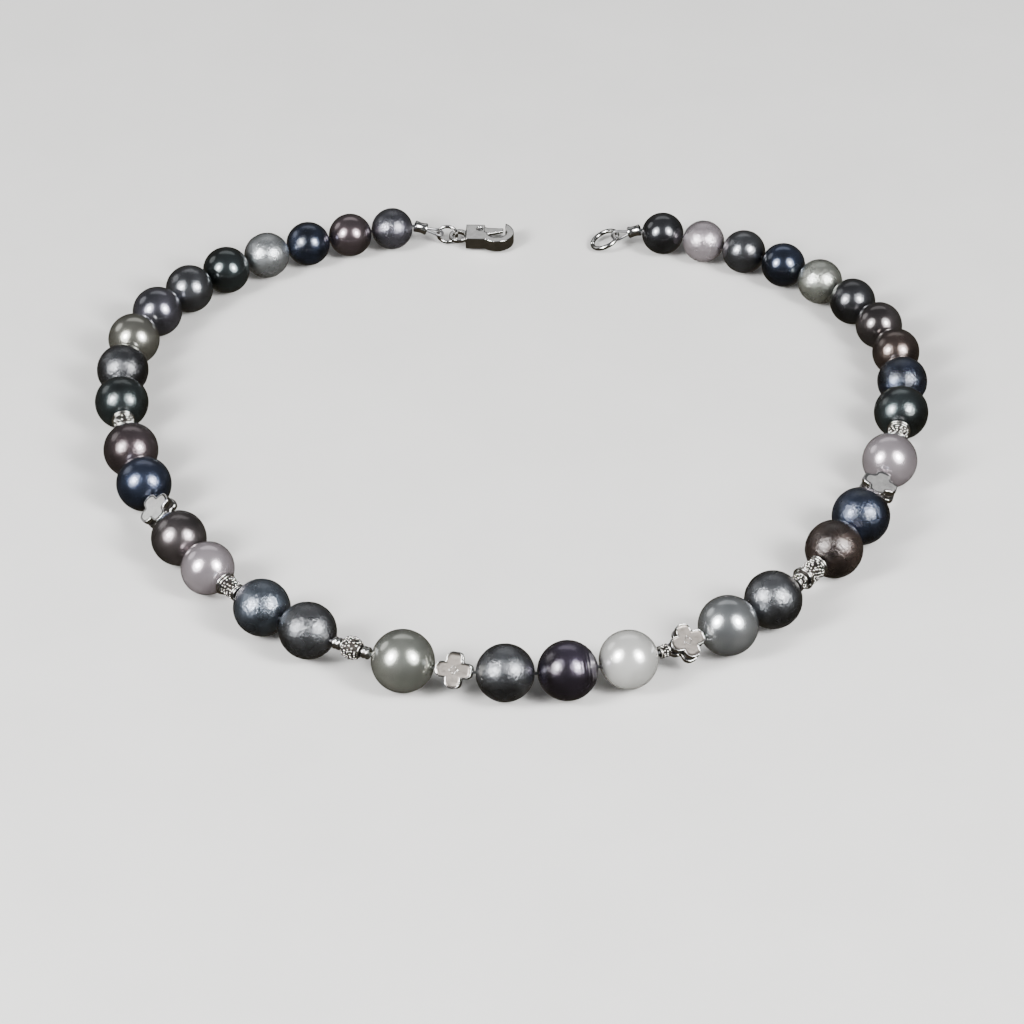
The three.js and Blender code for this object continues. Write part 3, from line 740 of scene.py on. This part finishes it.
def add_crimp(side):
    """A short tube, pinched a little in its middle."""
    start, along, across = end_frame(side)
    above = along.cross(across)
    half, edge, bore = CRIMP["length"] / 2, CRIMP["edge"], CRIMP["bore"]
    profile = [(-half, bore), (-half, CRIMP["radius"] - edge)]
    for i in range(2 * CRIMP_STEPS + 1):
        share = i / CRIMP_STEPS - 1
        profile.append(((half - edge) * share, CRIMP["radius"] - CRIMP["pinch"] * (1 - share**2)))
    profile += [(half, CRIMP["radius"] - edge), (half, bore)]
    middle = start + along * half * MM
    basis = Matrix((along, across, above)).transposed()
    shape = lathe(profile[::-1], CRIMP_SIDES)
    place(f"crimp_{side}_tube", shape, (middle, basis), "crimp_" + side, [POLISHED],
          ["crimp_" + side])


def add_wire_loop(side, loop_half):
    """The wire's loop beyond the crimp, and the piece that enters the crimp from the strand."""
    start, along, across = end_frame(side)
    over = across if side == "left" else along.cross(across)
    far = CRIMP["length"] + CRIMP_WIRE["reach"]
    mouth = CRIMP["length"] + CRIMP_WIRE["mouth"]
    inside, strand_at = CRIMP_WIRE["inside"], CRIMP_WIRE["strand"]
    path = [(inside, strand_at), (mouth, strand_at)]
    for i in range(WIRE_LOOP_STEPS + 1):
        turn = math.pi / 2 - math.pi * i / WIRE_LOOP_STEPS
        path.append((far - loop_half + loop_half * math.cos(turn), loop_half * math.sin(turn)))
    path += [(mouth, -strand_at), (inside, -strand_at)]
    points = [start + (along * a + over * b) * MM for a, b in path]
    add_wire(f"wire_loop_{side}", points, "crimp_" + side)
    last = start + along * CRIMP_WIRE["end"] * MM
    add_wire(f"wire_end_{side}", [ends[side], last], "crimp_" + side)


for side, loop_half in LOOP_HALF.items():
    add_crimp(side)
    add_wire_loop(side, loop_half)


def add_link(node, radius, wire):
    """A ring bent from round wire, with the fine seam where its ends meet."""
    verts = np.array([v.co for v in frame["nodes"][node].data.vertices])
    middle = verts.mean(0)
    _, _, ways = np.linalg.svd(verts - middle, full_matrices=False)
    first, second = Vector(ways[0]), Vector(ways[1])
    points = []
    for i in range(LINK_STEPS + 1):
        turn = LINK_SEAM_AT + LINK_SEAM / 2 + (2 * math.pi - LINK_SEAM) * i / LINK_STEPS
        points.append((first * math.cos(turn) + second * math.sin(turn)) * radius)
    place(node + "_bent", sweep(points, wire, LINK_SIDES), (Vector(middle), IDENTITY), node,
          [POLISHED], [node])


for node, (radius, wire) in LINKS.items():
    add_link(node, radius, wire)


# ---- the clasp ---------------------------------------------------------------------------------
def soften(node, voxel, passes):
    """The frame's own solid, remeshed finely and rounded as a casting is."""
    name = node + "_cast"
    mesh = frame["nodes"][node].data.copy()
    mesh.transform(Matrix.Scale(1 / MM, 4))
    piece = bpy.data.objects.new(name, mesh)
    bpy.context.scene.collection.objects.link(piece)
    remesh = piece.modifiers.new("Remesh", "REMESH")
    remesh.mode, remesh.voxel_size, remesh.use_smooth_shade = "VOXEL", voxel, True
    smooth = piece.modifiers.new("Smooth", "SMOOTH")
    smooth.factor, smooth.iterations = 0.5, passes
    graph = bpy.context.evaluated_depsgraph_get()
    solid = bpy.data.meshes.new_from_object(piece.evaluated_get(graph))
    bpy.data.objects.remove(piece)
    verts = np.array([v.co for v in solid.vertices])
    faces = [tuple(p.vertices) for p in solid.polygons]
    place(name, (verts, faces), (Vector((0, 0, 0)), IDENTITY), BODY_OF[node],
          [POLISHED], [node])


for node, (voxel, passes) in CASTINGS.items():
    soften(node, voxel, passes)
for node in ("clasp_pin", "clasp_spring"):
    shown = frame["nodes"][node]
    shown.data.materials.clear()
    shown.data.materials.append(STEEL)


# ---- floor, lights and camera --------------------------------------------------------------------
def paper():
    """The floor: pale matt paper, a little uneven."""
    look = Look("floor_paper", Specular_IOR_Level=0.2)
    colour = look.ramp(look.noise(40, detail=6), (0.80, 0.79, 0.77), (0.84, 0.83, 0.81))
    rough = look.spread(look.noise(300, detail=3), low=0.75, high=0.85)
    fibres = look.bump(look.noise(2500, detail=3), strength=0.08, depth_mm=0.05)
    return look.finish(colour, rough, fibres)


floor_mesh = bpy.data.meshes.new("floor")
edge = FLOOR_HALF * MM
corners = [(-edge, -edge, 0), (edge, -edge, 0), (edge, edge, 0), (-edge, edge, 0)]
floor_mesh.from_pydata(corners, [], [(0, 1, 2, 3)])
floor_mesh.materials.append(paper())
floor = bpy.data.objects.new("floor", floor_mesh)
bpy.context.scene.collection.objects.link(floor)
floor.visible_glossy = False  # so that the pearls' undersides stay dark, as in the photo

RISE = math.radians(38)
REACH = 1.03  # metres from the target
LENS = 200
SENSOR = 36
FRONT_PEARL = "pearl_18"
AIM = (1.2, 53.4, -0.8)  # in mm: aside and back from the front pearl, and over the floor
aim_aside, aim_back, aim_up = AIM
front_middle = bead_place(FRONT_PEARL)[0]
target = Vector((front_middle.x + aim_aside * MM, front_middle.y + aim_back * MM, aim_up * MM))
back = Vector((0, -math.cos(RISE), math.sin(RISE)))
right = Vector((1, 0, 0))
above = right.cross(back) * -1

camera_data = bpy.data.cameras.new("camera")
camera_data.lens, camera_data.sensor_width = LENS, SENSOR
camera = bpy.data.objects.new("camera", camera_data)
camera.location = target + back * REACH
camera.rotation_euler = (math.pi / 2 - RISE, 0, 0)
bpy.context.scene.collection.objects.link(camera)
bpy.context.scene.camera = camera


# Each light: degrees aside and over from the camera's line, distance and size in metres, and watts.
LIGHTS = {
    "left_softbox": (-42, 12, 0.85, (0.56, 0.76), 7.0),
    "left_bulb": (-42, 12, 0.8, (0.2, 0.28), 6.0),
    "right_softbox": (38, 12, 0.85, (0.56, 0.76), 7.0),
    "right_bulb": (38, 12, 0.8, (0.2, 0.28), 6.0),
    "top_card": (0, 100, 1.3, (1.2, 0.5), 0.8),
    "back_card": (-96, 37, 1.1, (0.5, 0.5), 0.6),
}


def add_softbox(name, aside, over, distance, size, power):
    """An oval white area light that faces the strand."""
    a, e = math.radians(aside), math.radians(over)
    way = back * math.cos(a) * math.cos(e) + right * math.sin(a) * math.cos(e) + above * math.sin(e)
    data = bpy.data.lights.new(name, "AREA")
    data.shape, data.size, data.size_y = "ELLIPSE", *size
    data.energy = power
    light = bpy.data.objects.new(name, data)
    light.location = target + way * distance
    light.rotation_euler = way.to_track_quat("Z", "Y").to_euler()
    bpy.context.scene.collection.objects.link(light)


for name, settings in LIGHTS.items():
    add_softbox(name, *settings)

# The room's colour and where it starts, from straight down (0) to straight up (1).
ROOM_LOW = (0.35, (0.046, 0.040, 0.030, 1))
ROOM_HIGH = (0.85, (0.11, 0.113, 0.118, 1))


def studio_world():
    """A dim room, darker towards the ground."""
    world = bpy.data.worlds.new("studio")
    world.use_nodes = True
    tree = world.node_tree
    sky = tree.nodes["Background"]
    sky.inputs["Strength"].default_value = 1.0
    where = tree.nodes.new("ShaderNodeTexCoord")
    split = tree.nodes.new("ShaderNodeSeparateXYZ")
    ramp = tree.nodes.new("ShaderNodeValToRGB")
    shift = tree.nodes.new("ShaderNodeMapRange")
    shift.inputs["From Min"].default_value = -1
    tree.links.new(where.outputs["Generated"], split.inputs["Vector"])
    tree.links.new(split.outputs["Z"], shift.inputs["Value"])
    tree.links.new(shift.outputs["Result"], ramp.inputs["Fac"])
    tree.links.new(ramp.outputs["Color"], sky.inputs["Color"])
    for stop, (position, colour) in zip(ramp.color_ramp.elements, (ROOM_LOW, ROOM_HIGH)):
        stop.position = position
        stop.color = colour
    bpy.context.scene.world = world


studio_world()
